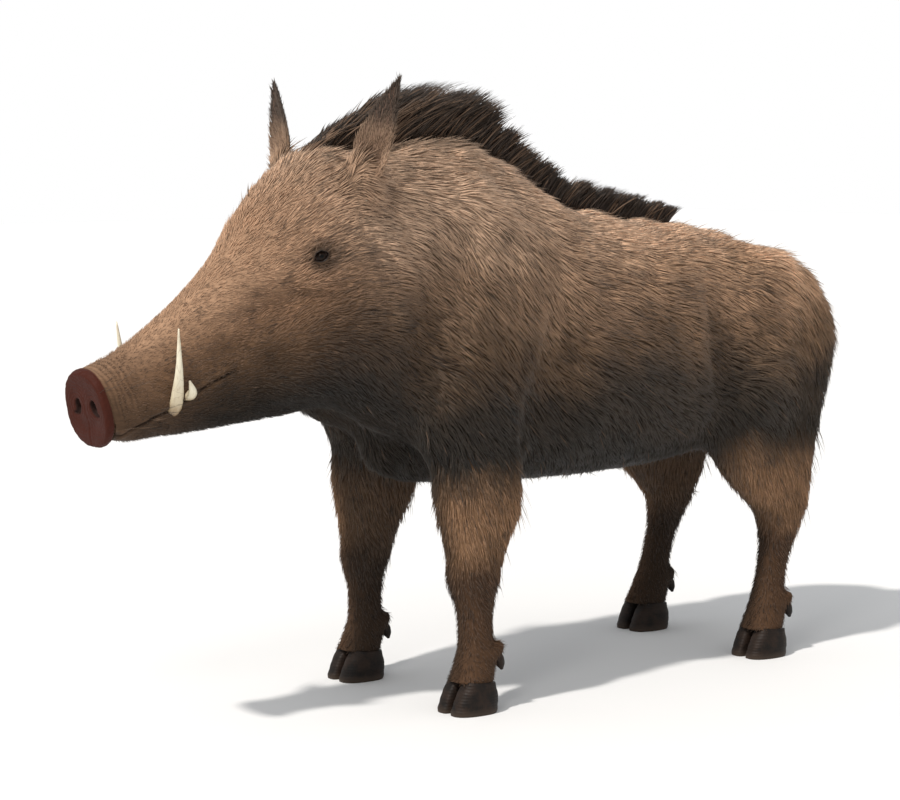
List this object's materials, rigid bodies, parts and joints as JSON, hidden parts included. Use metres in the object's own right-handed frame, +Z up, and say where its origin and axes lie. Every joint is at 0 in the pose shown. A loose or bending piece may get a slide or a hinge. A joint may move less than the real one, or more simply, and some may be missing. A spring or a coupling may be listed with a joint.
{
  "type": "wild boar",
  "caption": "Still life-size wild boar standing square on its hooves, with a sloping back, a wedge-shaped head, upcurved tusks and a dark standing crest.",
  "frame": {"origin": "on the floor, under the middle of the animal's box", "axes": "-Y is the way the animal faces, +X is its left side, +Z is up from the floor"},
  "size_m": [0.4018, 1.5272, 0.9768],
  "materials": {
    "coat": "coarse tan-brown bristle over hide, darker below and on the legs",
    "coat_dark": "long stiff near-black bristle",
    "horn": "worn dark horn of the hooves and dewclaws, slightly ridged",
    "ivory": "smooth cream tusk, stained darker at the root",
    "eye": "wet dark brown eye",
    "nose_skin": "bare, finely wrinkled reddish-brown skin, slightly moist"
  },
  "bodies": {
    "root": {"foreleg_left_upper": "coat", "foreleg_left_lower": "coat", "hoof_fore_left_outer": "horn", "dewclaw_fore_left_outer": "horn", "hoof_fore_left_inner": "horn", "dewclaw_fore_left_inner": "horn", "foreleg_right_upper": "coat", "foreleg_right_lower": "coat", "hoof_fore_right_outer": "horn", "dewclaw_fore_right_outer": "horn", "hoof_fore_right_inner": "horn", "dewclaw_fore_right_inner": "horn", "hindleg_left_upper": "coat", "hindleg_left_lower": "coat", "hoof_hind_left_outer": "horn", "dewclaw_hind_left_outer": "horn", "hoof_hind_left_inner": "horn", "dewclaw_hind_left_inner": "horn", "hindleg_right_upper": "coat", "hindleg_right_lower": "coat", "hoof_hind_right_outer": "horn", "dewclaw_hind_right_outer": "horn", "hoof_hind_right_inner": "horn", "dewclaw_hind_right_inner": "horn", "head": "coat", "lower_jaw": "coat", "nose_pad": "nose_skin", "neck": "coat", "trunk": "coat", "eye_left": "eye", "tusk_lower_left": "ivory", "tusk_upper_left": "ivory", "eye_right": "eye", "tusk_lower_right": "ivory", "tusk_upper_right": "ivory", "crest": "coat_dark", "ear_left": "coat", "ear_right": "coat", "tail": "coat_dark"}
  },
  "joints": []
}
